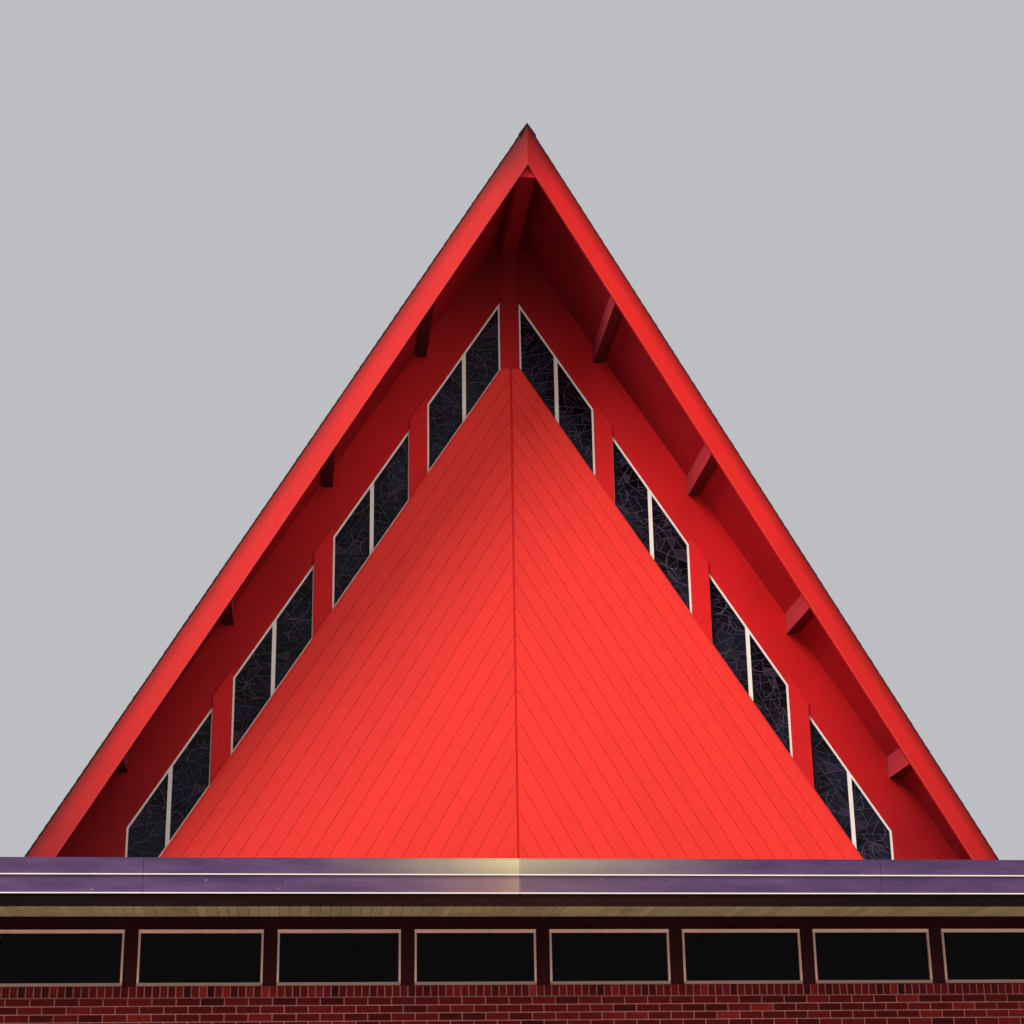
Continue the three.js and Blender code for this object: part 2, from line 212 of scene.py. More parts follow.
def paint(name, srgb, spread, rough, grain_scale, relief, dirt=None, metal=0.0, tone=0.0, edge_shade=0.0,
          spec=0.28, painted_light=(), below=1.0, grain=(1, 1, 1)):
    """Painted timber, metal or masonry with fine grain.

    spread is how far slow fading goes and dirt is a strength and a colour. tone is how far pieces differ, and
    the edge shade is how dark a tone of 0 gets, as painted shade.
    The axes with stops for darken hold painted light and shade, and below is for darken_below, painted shade
    on faces that look down.
    """
    material, tree, shader = new_material(name)
    base = linear(srgb)
    slow = noise(tree, object_coords(tree), 0.7, 3.0)
    colour = ramp(tree, slow, [(0.3, shade(base, 1 - spread)), (0.7, shade(base, 1 + spread))])
    if tone:
        low, high = shade(base, 1 - tone), shade(base, 1 + tone)
        per_piece = ramp(tree, tone_of(tree), [(0.0, low), (1.0, high)])
        colour = mix(tree, 0.6, colour, per_piece)
    fine = noise(tree, object_coords(tree, grain), grain_scale, 6.0, 0.65)
    if dirt:
        patchy = noise(tree, object_coords(tree, (1, 1, 0.45)), 2.3, 6.0, 0.7)
        colour = blot(tree, colour, patchy, dirt[0], 0.5, 0.75, dirt[1])
    colour = mix(tree, span(tree, fine, 0.0, 0.22, 0.45, 0.8), colour, shade(base, 0.7))
    # Painted shade: pieces with a tone of 0 get darker.
    if edge_shade:
        stain = ramp(tree, tone_of(tree), greys((0.0, 1 - edge_shade), (1.0, 1)))
        colour = mix(tree, 1.0, colour, stain, "MULTIPLY")
    # Painted light and shade along axes of the row frame.
    for axis, stops in painted_light:
        colour = darken(tree, colour, axis, stops)
    # Painted shade on faces that look down.
    if below < 1.0:
        colour = darken_below(tree, colour, below)
    fill(tree, shader, {"Base Color": colour, "Roughness": span(tree, fine, *rough), "Metallic": metal,
                        "Specular IOR Level": 0.5 if metal else spec})
    bump(tree, shader, fine, relief, 0.004)
    return material


def brick_material():
    material, tree, shader = new_material("brick")
    colour = ramp(tree, tone_of(tree), colours(
        (0.0, (34, 6, 6)), (0.35, (60, 9, 9)), (0.7, (78, 14, 13)), (1.0, (106, 24, 20))))
    fine = noise(tree, object_coords(tree), 60.0, 8.0, 0.7)
    patch = noise(tree, object_coords(tree), 9.0, 4.0)
    colour = blot(tree, colour, patch, 0.5, 0.45, 0.75, (52, 9, 9))
    colour = blot(tree, colour, fine, 0.4, 0.5, 0.8, (34, 7, 7))
    fill(tree, shader, {"Base Color": colour, "Specular IOR Level": 0.04,
                        "Roughness": span(tree, fine, 0.75, 0.95)})
    bump(tree, shader, fine, 0.5, 0.004)
    return material


def shingle_material():
    material, tree, shader = new_material("shingle")
    colour = ramp(tree, tone_of(tree), colours((0.0, (24, 20, 19)), (0.5, (40, 34, 31)), (1.0, (62, 54, 48))))
    grit = noise(tree, object_coords(tree), 220.0, 4.0, 0.8)
    stain = noise(tree, object_coords(tree, (1, 1, 0.4)), 0.9, 5.0, 0.65)
    colour = blot(tree, colour, stain, 0.5, 0.45, 0.7, (30, 27, 25))
    colour = blot(tree, colour, grit, 0.5, 0.5, 0.7, (78, 70, 63))
    fill(tree, shader, {"Base Color": colour, "Roughness": 0.92})
    bump(tree, shader, grit, 0.5, 0.003)
    return material


def leaded_glass_material():
    """Near-black panes with violet, blue and a few warmer pieces."""
    material, tree, shader = new_material("leaded_glass")
    # The lightest few pieces stand for glints on the glass: painted highlight.
    colour = ramp(tree, tone_of(tree), colours(
        (0.0, (4, 3, 5)), (0.55, (7, 5, 8)), (0.74, (20, 10, 16)),
        (0.86, (13, 13, 26)), (0.95, (30, 20, 34)), (1.0, (62, 44, 60))))
    wave = noise(tree, object_coords(tree), 14.0, 3.0)
    colour = blot(tree, colour, wave, 0.5, 0.4, 0.8, (8, 8, 14))
    haze = noise(tree, object_coords(tree), 1.7, 5.0, 0.6)
    colour = blot(tree, colour, haze, 0.65, 0.42, 0.66, (33, 37, 56))
    fill(tree, shader, {"Base Color": colour, "Roughness": 0.16, "IOR": 1.15})
    bump(tree, shader, wave, 0.25, 0.01)
    return material


def window_glass_material():
    material, tree, shader = new_material("window_glass")
    haze = noise(tree, object_coords(tree), 1.2, 4.0)
    colour = ramp(tree, haze, colours((0.35, (2, 2, 3)), (0.7, (6, 5, 7))))
    fill(tree, shader, {"Base Color": colour, "Roughness": span(tree, haze, 0.03, 0.10), "IOR": 1.11})
    return material


# The part of the front fascia that carries a painted reflection, from left to right.
REFLECTION_PART = (-3.2, 1.8)


def fascia_material():
    """Purple metallic sheet with a painted reflection in greenish cream on both sides of a joint."""
    material, tree, shader = new_material("fascia_metal")
    coords = add(tree, "TexCoord", {})
    split = add(tree, "SeparateXYZ", {0: coords.outputs["Object"]})
    streak = noise(tree, object_coords(tree, (1, 1, 5)), 1.6, 6.0, 0.6)
    speck = noise(tree, object_coords(tree), 34.0, 3.0, 0.6)
    colour = ramp(tree, streak, colours((0.3, (58, 37, 70)), (0.5, (78, 49, 90)), (0.7, (96, 63, 102))))
    # Painted reflection: greenish cream, strongest just left of a joint and fading both ways; on the upper
    # step it is brighter towards the top.
    along = span(tree, split.outputs["X"], 0.0, 1.0, *REFLECTION_PART)
    upper_reflection = ramp(tree, along, greys(
        (0.0, 0.0), (0.14, 0.03), (0.26, 0.18), (0.36, 0.40), (0.45, 0.72), (0.485, 0.84),
        (0.4875, 0.50), (0.64, 0.28), (0.8, 0.10), (0.92, 0.0)))
    lower_reflection = ramp(tree, along, greys(
        (0.0, 0.0), (0.2, 0.03), (0.34, 0.14), (0.44, 0.30), (0.485, 0.48),
        (0.4875, 0.14), (0.62, 0.08), (0.85, 0.0)))
    is_upper = span(tree, split.outputs["Z"], 0.0, 1.0, FASCIA_STEP - 0.004, FASCIA_STEP + 0.004)
    height = span(tree, split.outputs["Z"], 0.0, 1.0, FASCIA_STEP, FASCIA_TOP)
    reflection_rise = ramp(tree, height, greys((0.0, 0.76), (1.0, 1.2)))
    reflection = mix(tree, is_upper, lower_reflection, mix(tree, 1.0, upper_reflection, reflection_rise, "MULTIPLY"))
    reflection_colour = mix(tree, is_upper, linear((204, 160, 124)), linear((208, 191, 144)))
    colour = mix(tree, reflection, colour, reflection_colour)
    colour = blot(tree, colour, speck, 0.7, 0.68, 0.8, (196, 186, 176))
    fill(tree, shader, {"Base Color": colour, "Metallic": 0.35, "Roughness": span(tree, streak, 0.3, 0.5)})
    bump(tree, shader, streak, 0.08, 0.01)
    return material


def gravel_material():
    material, tree, shader = new_material("flat_roof")
    grit = noise(tree, object_coords(tree), 90.0, 6.0, 0.8)
    patch = noise(tree, object_coords(tree), 0.8, 4.0)
    colour = ramp(tree, grit, colours((0.35, (52, 50, 47)), (0.65, (104, 100, 92))))
    colour = blot(tree, colour, patch, 0.5, 0.4, 0.7, (60, 57, 52))
    fill(tree, shader, {"Base Color": colour, "Roughness": 0.95})
    bump(tree, shader, grit, 0.6, 0.01)
    return material


# Painted light and shade: along an axis of the row frame, places in metres and the factor on the paint there;
# a factor below 1 is painted shade, above 1 painted light.
BARGE_SHADE = (("Z", ((3.4, 0.60), (4.9, 0.84), (8.5, 1.0), (11.6, 0.98), (12.5, 0.84), (12.7, 0.76),
                      (12.9, 0.58), (13.1, 0.44), (13.45, 0.36))),
               ("X", ((-6.8, 0.46), (-5.6, 0.58), (-4.6, 0.80), (-0.1, 0.80),
                      (0.1, 0.97), (5.2, 0.97), (6.6, 0.82))))
LIP_SHADE = (("Z", ((3.4, 0.80), (7.0, 1.0), (11.4, 0.95), (12.4, 0.62), (13.4, 0.45))),
             ("X", ((-6.8, 0.34), (-5.0, 0.54), (-0.1, 0.60), (0.1, 1.0), (7.0, 1.0))))
SOFFIT_LIGHT_AND_SHADE = (("Z", ((2.4, 1.20), (9.0, 1.28), (11.0, 1.10), (12.2, 1.25), (13.4, 1.5))),
                ("X", ((-7.0, 0.30), (-5.6, 0.38), (-4.0, 0.54), (-2.8, 0.72), (-0.1, 0.85),
                       (0.1, 0.45), (1.2, 0.58), (2.8, 0.96), (4.4, 1.0), (5.6, 0.62), (7.0, 0.46))))
EAVE_LIGHT_AND_SHADE = (("X", ((-7.3, 0.5), (-2.6, 1.6), (-1.0, 2.2), (1.5, 1.3), (7.3, 0.5))),)
BEAM_LIGHT_AND_SHADE = (("Z", ((2.4, 1.10), (7.0, 1.10), (9.0, 0.90), (11.0, 0.70), (12.6, 0.50), (13.4, 0.45))),
              ("X", ((-7.0, 0.50), (-0.1, 0.60), (0.1, 1.0), (7.0, 1.0))),
              ("Y", ((-8.9, 1.10), (-7.9, 0.92), (-6.92, 0.66), (11.37, 0.66), (12.4, 0.92), (13.4, 1.10))))
POST_SHADE = (("Z", ((3.4, 0.90), (6.5, 0.96), (9.6, 1.0), (11.0, 0.86), (11.6, 0.64), (12.0, 0.46),
                     (12.5, 0.34), (13.2, 0.28))),)
WALL_SHADE = POST_SHADE + (
    ("X", ((-7.0, 0.45), (-5.2, 0.54), (-3.8, 0.80), (-2.6, 0.84), (-1.4, 1.0),
           (3.9, 1.0), (4.8, 0.72), (5.4, 0.60), (7.0, 0.50))),)

RED, RED_DIRT = (230, 37, 33), (0.2, (176, 22, 26))

LOOKS = {
    # Barge boards: painted shade towards the foot, the apex and the left side.
    "red": paint("red_paint", RED, 0.06, (0.45, 0.62), 40.0, 0.08, RED_DIRT, tone=0.08, spec=0.12,
                 painted_light=BARGE_SHADE),
    # The band along the barges' upper edge: painted shadow under the shingle edge, darkest along its top.
    "stained": paint("shadow_band_red_paint", RED, 0.06, (0.45, 0.62), 40.0, 0.08, RED_DIRT, edge_shade=0.62, spec=0.12,
                     painted_light=BARGE_SHADE),
    # The lip along the barges' lower edge is painted lighter than the boards as a highlight, with painted
    # shade from its table.
    "lip": paint("lit_lip_paint", (238, 66, 62), 0.06, (0.4, 0.55), 40.0, 0.08, (0.45, (206, 50, 54)),
                 spec=0.12, painted_light=LIP_SHADE),
    # Posts: painted shade, strongest towards the apex.
    "post": paint("post_paint", (220, 29, 31), 0.06, (0.5, 0.66), 34.0, 0.08, (0.25, (186, 20, 27)),
                  spec=0.15, painted_light=POST_SHADE),
    "boarding": paint("boarding_paint", (242, 48, 37), 0.06, (0.5, 0.66), 34.0, 0.12, (0.25, (216, 34, 36)),
                      tone=0.07),
    # Gable wall: painted shade towards the apex and towards both sides, most on the left.
    "wall": paint("wall_paint", (208, 25, 28), 0.08, (0.5, 0.66), 34.0, 0.08, (0.25, (160, 14, 20)),
                  spec=0.14, painted_light=WALL_SHADE),
    # Roof soffit: painted light and shade from its table.
    "soffit_red": paint("roof_soffit_paint", (168, 27, 35), 0.12, (0.55, 0.75), 30.0, 0.08,
                        (0.4, (124, 12, 19)), spec=0.12, painted_light=SOFFIT_LIGHT_AND_SHADE),
    # Ridge beam: painted shade on its underside.
    "ridge": paint("ridge_beam_paint", (196, 34, 46), 0.1, (0.5, 0.7), 30.0, 0.08, (0.3, (150, 16, 24)),
                   spec=0.12, below=0.50),
    # Beams: lighter and pinker than the other reds as a painted highlight on their lit faces, with painted
    # light and shade along them and painted shade on their undersides.
    "beam": paint("beam_paint", (208, 62, 68), 0.12, (0.45, 0.65), 30.0, 0.1, (0.3, (158, 24, 32)),
                  painted_light=BEAM_LIGHT_AND_SHADE, below=0.24),
    "cream": paint("sash_paint", (244, 236, 224), 0.03, (0.4, 0.55), 50.0, 0.06, (0.2, (186, 150, 140))),
    # Window frames: the bars' tones give painted light on the top bars and painted shade on the feet.
    "frame": paint("window_frame_paint", (176, 134, 118), 0.1, (0.4, 0.6), 50.0, 0.06, (0.3, (112, 74, 66)),
                   tone=1.0),
    "maroon": paint("dark_maroon_paint", (38, 7, 9), 0.2, (0.6, 0.8), 40.0, 0.08, spec=0.06),
    # Eave board: painted light left of the middle and painted shade towards both ends.
    "eave": paint("eave_board_paint", (22, 9, 8), 0.3, (0.65, 0.85), 26.0, 0.12, spec=0.05, painted_light=EAVE_LIGHT_AND_SHADE),
    "tan": paint("soffit_paint", (176, 150, 108), 0.12, (0.6, 0.8), 26.0, 0.15, (0.5, (104, 76, 52)),
                 tone=0.25),
    # Pale fascia edges: their near-white colour is a painted highlight along the metal edges.
    "trim": paint("fascia_edge_highlight", (232, 216, 206), 0.05, (0.25, 0.4), 40.0, 0.03, metal=0.2),
    "lead": paint("lead_came", (104, 88, 108), 0.15, (0.5, 0.7), 60.0, 0.1, tone=0.7, spec=0.15),
    "mortar": paint("mortar", (158, 102, 96), 0.12, (0.85, 0.95), 90.0, 0.4),
    "concrete": paint("concrete", (168, 164, 156), 0.08, (0.75, 0.9), 50.0, 0.3, (0.4, (128, 124, 118))),
    "door": paint("door_wood", (112, 62, 36), 0.15, (0.4, 0.6), 60.0, 0.3, tone=0.2, grain=(1, 1, 0.06)),
    "handle": paint("brushed_handle", (160, 156, 150), 0.05, (0.25, 0.4), 80.0, 0.05, metal=0.9,
                    grain=(1, 1, 0.1)),
    "brick": brick_material(),
    "shingle": shingle_material(),
    "leaded": leaded_glass_material(),
    "glass": window_glass_material(),
    "fascia": fascia_material(),
    "gravel": gravel_material(),
}

# Mesh building

BEVEL_ANGLE = 40
HEX_FACES = ((0, 3, 2, 1), (4, 5, 6, 7), (0, 1, 5, 4), (1, 2, 6, 5), (2, 3, 7, 6), (3, 0, 4, 7))


class Builder:
    """Collects closed solids, each with a tone, for one mesh."""

    def __init__(self):
        self.points, self.faces, self.tones = [], [], []
        self.count = 0

    def hexa(self, corners, tone=0.5):
        """Eight corners: four round one end, then the four opposite them."""
        corners = [Vector(c) for c in corners]
        a, b, d, e = corners[0], corners[1], corners[3], corners[4]
        inside_out = (b - a).cross(d - a).dot(e - a) < 0
        for face in HEX_FACES:
            ids = [i + self.count for i in face]
            self.faces.append(ids[::-1] if inside_out else ids)
        self.points.extend(corners)
        self.tones.extend([tone] * 8)
        self.count += 8

    def box(self, x0, x1, y0, y1, z0, z1, tone=0.5):
        self.hexa([(x, y, z) for z in (z0, z1) for x, y in ((x0, y0), (x1, y0), (x1, y1), (x0, y1))], tone)

    def prism(self, near, far, tone=0.5):
        """Two matching outlines in space, joined round their edges."""
        near, far = [Vector(p) for p in near], [Vector(p) for p in far]
        normal = Vector()
        for i in range(1, len(near) - 1):
            normal += (near[i] - near[0]).cross(near[i + 1] - near[0])
        if normal.dot(far[0] - near[0]) > 0:
            near, far = near[::-1], far[::-1]
        n, start = len(near), self.count
        self.points.extend(near + far)
        self.tones.extend([tone] * 2 * n)
        self.faces.append([start + i for i in range(n)])
        self.faces.append([start + n + i for i in reversed(range(n))])
        for i in range(n):
            j = (i + 1) % n
            self.faces.append([start + j, start + i, start + n + i, start + n + j])
        self.count += 2 * n

    def upright(self, outline, y0, y1, tone=0.5):
        """An X-Z outline between two values of Y."""
        self.prism([(x, y0, z) for x, z in outline], [(x, y1, z) for x, z in outline], tone)

    def make(self, name, look, slot, nodes=(), bevel=0.0):
        """One piece of the scene from all the solids; nodes are the CAD pieces that it replaces."""
        mesh = bpy.data.meshes.new(name)
        mesh.from_pydata([row(p) for p in self.points], [], self.faces)
        layer = mesh.attributes.new("tone", "FLOAT", "POINT")
        layer.data.foreach_set("value", self.tones)
        mesh.materials.append(LOOKS[look])
        mesh.update()
        piece = add_object(name, mesh)
        if bevel:
            soften(piece, bevel)
        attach(piece, "root")
        if nodes:
            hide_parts(*nodes)


def soften(piece, width):
    modifier = piece.modifiers.new("edges", "BEVEL")
    modifier.width = width
    modifier.segments = 2
    modifier.limit_method = "ANGLE"
    modifier.angle_limit = math.radians(BEVEL_ANGLE)


def middling_tone(spread=0.2):
    return rng.gauss(0.5, spread)


def roof_top(x):
    return RIDGE_Z - SLOPE * abs(x)


def roof_under(x):
    return roof_top(x) - ROOF_RISE


def sash_top(x):
    return SASH_LINE_Z - SLOPE * abs(x)


def gable_face(end):
    """Where a gable's skin stands, and its outward direction along Y."""
    return (GABLE_FACE, -1) if end == "front" else (REAR_FACE, 1)


# Brickwork

# A brick's length and height hold a joint, and the mortar lies RECESS behind its face. CLOSER is the shortest
# brick at a course's end, SLIVER the shortest beside an opening.
BRICK_L, BRICK_H, BRICK_D = 0.209006, 0.067733, 0.0950
JOINT = 0.0095
RECESS = 0.007
UNEVEN = 0.001
CLOSER, SLIVER = 0.05, 0.03
CORNER_LONGER = 0.028
SILL_PROUD, SILL_DEPTH = 0.015, 0.05
WING_COURSES, NAVE_COURSES, REAR_COURSES = 43, 45, 49
LINTEL_COURSES, LINTEL_BEARING = 3, 0.12
UNDER_ROOF, BRICK_UNDER_ROOF = 0.002, 0.01
DOOR_SIDE = DOOR_HALF + 0.04


class Wall:
    """A brick wall's outer face: along is the course's direction, out is its outward side."""

    def __init__(self, corner, along, out, length):
        self.corner, self.along, self.out = Vector((*corner, 0)), Vector((*along, 0)), Vector((*out, 0))
        self.length = length

    def at(self, u, depth, z):
        return self.corner + self.along * u - self.out * depth + Vector((0, 0, z))

    def block(self, builder, u0, u1, d0, d1, z0, z1, tone=0.5):
        base = ((u0, d0), (u1, d0), (u1, d1), (u0, d1))
        builder.hexa([self.at(u, d, z) for z in (z0, z1) for u, d in base], tone)

    def core(self, builder, outline):
        builder.prism([self.at(u, RECESS, z) for u, z in outline], [self.at(u, WALL, z) for u, z in outline])

    def courses(self, builder, count, owns, spans, limit=None, longer=0.0):
        """Running bond. owns says whether this wall holds the start and end corner in even courses.

        spans gives a course's stretches beside the openings, limit trims a brick to the gable's slope, and
        longer lengthens the first brick.
        """
        for course in range(count):
            even = course % 2 == 0
            start = 0.0 if owns[0] == even else BRICK_L / 2
            end = self.length if owns[1] in (None, even) else self.length - BRICK_L / 2
            z0 = course * BRICK_H + JOINT / 2
            z1 = (course + 1) * BRICK_H - JOINT / 2
            u = start
            while u < end:
                u1 = u + BRICK_L + (longer if u == start else 0)
                if u1 > end - CLOSER:
                    u1 = end
                for s0, s1 in spans(z0, z1):
                    a, b = max(u, s0), min(u1, s1)
                    if limit:
                        a, b = limit(a, b, z1)
                    if b - a > SLIVER:
                        p = a + (JOINT / 2 if a > 0 else 0)
                        q = b - (JOINT / 2 if b < self.length or owns[1] is None else 0)
                        proud = rng.uniform(-UNEVEN, UNEVEN)
                        self.block(builder, p, q, proud, BRICK_D, z0, z1, middling_tone())
                u = u1

    def rowlock(self, builder, u0, u1):
        """The sill: bricks on edge, a little proud of the wall."""
        count = round((u1 - u0) / BRICK_H)
        for i in range(count):
            a = u0 + i * BRICK_H
            proud = -SILL_PROUD + rng.uniform(-UNEVEN, UNEVEN)
            self.block(builder, a + JOINT / 2, a + BRICK_H - JOINT / 2, proud, SILL_DEPTH,
                       SILL_Z + JOINT / 2, SILL_TOP - 0.001, middling_tone(0.22))


def wing_wall(name, wall, bays, shift, owns):
    """A wall with a window row: mortar, bricks up to the header beside the row, and the sill below it."""
    row_half = bays * MODULE / 2
    a, b = wall.length / 2 + shift - row_half, wall.length / 2 + shift + row_half
    core = Builder()
    end, bed = wall.length - RECESS, SILL_TOP - 0.008
    wall.core(core, [(RECESS, 0), (end, 0), (end, HEADER_TOP), (b, HEADER_TOP), (b, bed), (a, bed),
                     (a, HEADER_TOP), (RECESS, HEADER_TOP)])
    wall.block(core, a, b, -RECESS, SILL_DEPTH, SILL_Z + 0.001, SILL_TOP - RECESS)
    core.make(name + "_mortar", "mortar", "brick", [name + "_wall"])
    bricks = Builder()

    def spans(z0, z1):
        if z1 < SILL_Z:
            return [(0, wall.length)]
        return [(0, a), (b, wall.length)]

    wall.courses(bricks, WING_COURSES, owns, spans, longer=CORNER_LONGER if shift else 0.0)
    wall.rowlock(bricks, a, b)
    bricks.make(name + "_bricks", "brick", "brick")


def wing_front():
    return Wall((-WING_HALF, WING_FACE), (1, 0), (0, -1), 2 * WING_HALF)


def wing_side(side):
    return Wall((side * WING_HALF, WING_FACE), (0, 1), (side, 0), WING_BACK - WING_FACE)


def all_brickwork():
    wing_wall("wing_front", wing_front(), FRONT_BAYS, ROW_SHIFT, (True, True))
    for side, word in SIDES:
        wing_wall(f"wing_{word}", wing_side(side), SIDE_BAYS, 0, (False, None))
    back_of_wing()
    nave_length = REAR_FACE - WING_BACK
    for side, word in SIDES:
        wall = Wall((side * NAVE_HALF, REAR_FACE), (0, -1), (side, 0), nave_length)
        core, bricks = Builder(), Builder()
        outer, inner = side * (NAVE_HALF - RECESS), side * (NAVE_HALF - WALL)
        core.upright([(outer, 0), (outer, roof_under(NAVE_HALF) - UNDER_ROOF),
                      (inner, roof_under(inner) - UNDER_ROOF), (inner, 0)], WING_BACK, REAR_FACE - RECESS)
        core.make(f"nave_{word}_mortar", "mortar", "brick", [f"nave_{word}_wall"])
        wall.courses(bricks, NAVE_COURSES, (False, None), lambda z0, z1: [(0, nave_length)])
        bricks.make(f"nave_{word}_bricks", "brick", "brick")
    rear_wall()


def back_of_wing():
    """The wall between wing and nave, with bricks where it shows beside the nave."""
    core, bricks = Builder(), Builder()
    half, door, top = WING_HALF - WALL, DOORWAY_HALF, DOORWAY_TOP
    core.upright([(-half, 0), (-door, 0), (-door, top), (door, top), (door, 0), (half, 0), (half, HEADER_TOP),
                  (-half, HEADER_TOP)], WING_BACK - WALL, WING_BACK - RECESS)
    length = WING_HALF - NAVE_HALF
    for side in (-1, 1):
        wall = Wall((side * WING_HALF, WING_BACK), (-side, 0), (0, 1), length)
        wall.courses(bricks, WING_COURSES, (None, None), lambda z0, z1: [(BRICK_D + JOINT / 2, length)])
    core.make("nave_front_mortar", "mortar", "brick", ["nave_front_base_wall"])
    bricks.make("wing_back_bricks", "brick", "brick")


def rear_wall():
    """The brick wall below the rear gable, with the doors' opening and a lintel of bricks on end."""
    length = 2 * NAVE_HALF
    wall = Wall((NAVE_HALF, REAR_FACE), (-1, 0), (0, 1), length)
    core, bricks = Builder(), Builder()
    end, edge = length - RECESS, roof_under(NAVE_HALF) - UNDER_ROOF
    shoulder = (RIDGE_Z - ROOF_RISE - UNDER_ROOF - FASCIA_TOP) / SLOPE
    door_from, door_to = NAVE_HALF - DOOR_SIDE, NAVE_HALF + DOOR_SIDE
    wall.core(core, [(RECESS, 0), (door_from, 0), (door_from, DOOR_TOP), (door_to, DOOR_TOP), (door_to, 0),
                     (end, 0), (end, edge), (NAVE_HALF + shoulder, FASCIA_TOP),
                     (NAVE_HALF - shoulder, FASCIA_TOP), (RECESS, edge)])
    core.make("nave_rear_mortar", "mortar", "brick", ["nave_rear_base_wall"])
    lintel, lintel_top = DOOR_SIDE + LINTEL_BEARING, DOOR_TOP + LINTEL_COURSES * BRICK_H

    def spans(z0, z1):
        if z0 > lintel_top:
            return [(0, length)]
        half = DOOR_SIDE if z1 < DOOR_TOP else lintel
        return [(0, NAVE_HALF - half), (NAVE_HALF + half, length)]

    def limit(a, b, z):
        reach = (RIDGE_Z - ROOF_RISE - BRICK_UNDER_ROOF - z) / SLOPE
        return max(a, NAVE_HALF - reach), min(b, NAVE_HALF + reach)

    wall.courses(bricks, REAR_COURSES, (True, True), spans, limit)
    count = round(2 * lintel / BRICK_H)
    step = 2 * lintel / count
    for i in range(count):
        a = NAVE_HALF - lintel + i * step
        wall.block(bricks, a + JOINT / 2, a + step - JOINT / 2, 0, BRICK_D, DOOR_TOP + JOINT / 2,
                   lintel_top - JOINT / 2, middling_tone())
    bricks.make("nave_rear_bricks", "brick", "brick")


# Wing windows

# Depths are counted inwards from the wall's face. A frame's top bar is the lightest, as painted light, and
# its foot the darkest, as painted shade.
SURROUND_DEPTHS = (0.03, 0.08)
FRAME_DEPTHS = (0.012, 0.046)
PANE_DEPTHS = (0.040, 0.046)
FRAME_SIDE, FRAME_LEVEL = 0.019, 0.030
LAP = 0.01
LIT_TOP_TONE, SIDE_TONE, SHADED_FOOT_TONE = 0.95, 0.5, 0.08


def window_row(name, wall, bays, shift):
    """Surround, frames and panes of a row; wall gives the place and direction."""
    middle = wall.length / 2 + shift
    half_row = bays * MODULE / 2 - GAP
    bottom = SILL_TOP + GAP
    surround, frames, panes = Builder(), Builder(), Builder()
    half = WINDOW_W / 2
    header = WINDOW_TOP - LAP
    wall.block(surround, middle - half_row, middle + half_row, *SURROUND_DEPTHS, header, HEADER_TOP - GAP)
    centres = [middle + (i - (bays - 1) / 2) * MODULE for i in range(bays)]
    posts = [middle - half_row] + [c + half for c in centres]
    ends = [c - half for c in centres] + [middle + half_row]
    for a, b in zip(posts, ends):
        wall.block(surround, a, b, *SURROUND_DEPTHS, bottom, header)
    for c in centres:
        z0, z1 = bottom + FRAME_LEVEL, WINDOW_TOP - FRAME_LEVEL
        left, right = c - half, c + half
        bars = ((left, right, z1, WINDOW_TOP, LIT_TOP_TONE), (left, right, bottom, z0, SHADED_FOOT_TONE),
                (left, left + FRAME_SIDE, z0, z1, SIDE_TONE), (right - FRAME_SIDE, right, z0, z1, SIDE_TONE))
        for a, b, low, high, tone in bars:
            wall.block(frames, a, b, *FRAME_DEPTHS, low, high, tone)
        inner = half - FRAME_SIDE
        wall.block(panes, c - inner - LAP, c + inner + LAP, *PANE_DEPTHS, z0 - LAP, z1 + LAP)
    surround.make(name + "_windows_surround", "maroon", "window_frame", [name + "_window_band"], 0.003)
    frames.make(name + "_windows_frames", "frame", "window_frame", (), 0.0015)
    panes.make(name + "_windows_panes", "glass", "glass", [name + "_glass"])


def all_window_rows():
    window_row("wing_front", wing_front(), FRONT_BAYS, ROW_SHIFT)
    for side, word in SIDES:
        window_row(f"wing_{word}", wing_side(side), SIDE_BAYS, 0)


# Wing eaves

EAVE_JOINTS = (-7.27, -4.02, -0.77, 2.48, 5.73)
EAVE_SIDE_JOINT, EAVE_GAP = 3.3, 0.0012
SHEET_BACK, STEP_BACK = 0.062, 0.020
LIP_OUT, LIP_RISE, LIP_BACK = 0.003, 0.004, 0.03
EDGE_OUT, EDGE_HIGH, EDGE_THICK = 0.007, 0.011, 0.009
SOFFIT_BOARD, SOFFIT_GAP, SOFFIT_THICK = 0.089, 0.004, 0.02


def eave_corner(side, out):
    return side * (WING_HALF + EAVE_OUT + out)


def eave_run(builder, section):
    """Extrudes an (outward, height) section along the front and both sides, with mitred corners."""
    edges = [None, *EAVE_JOINTS, None]
    for a, b in zip(edges, edges[1:]):
        near = [((eave_corner(-1, o) if a is None else a + EAVE_GAP), -o, z) for o, z in section]
        far = [((eave_corner(1, o) if b is None else b - EAVE_GAP), -o, z) for o, z in section]
        builder.prism(near, far, rng.random())
    for side in (-1, 1):
        edges = [None, EAVE_SIDE_JOINT, WING_BACK + EAVE_GAP]
        for a, b in zip(edges, edges[1:]):
            near = [(eave_corner(side, o), (-o if a is None else a + EAVE_GAP), z) for o, z in section]
            far = [(eave_corner(side, o), b - EAVE_GAP, z) for o, z in section]
            builder.prism(near, far, rng.random())


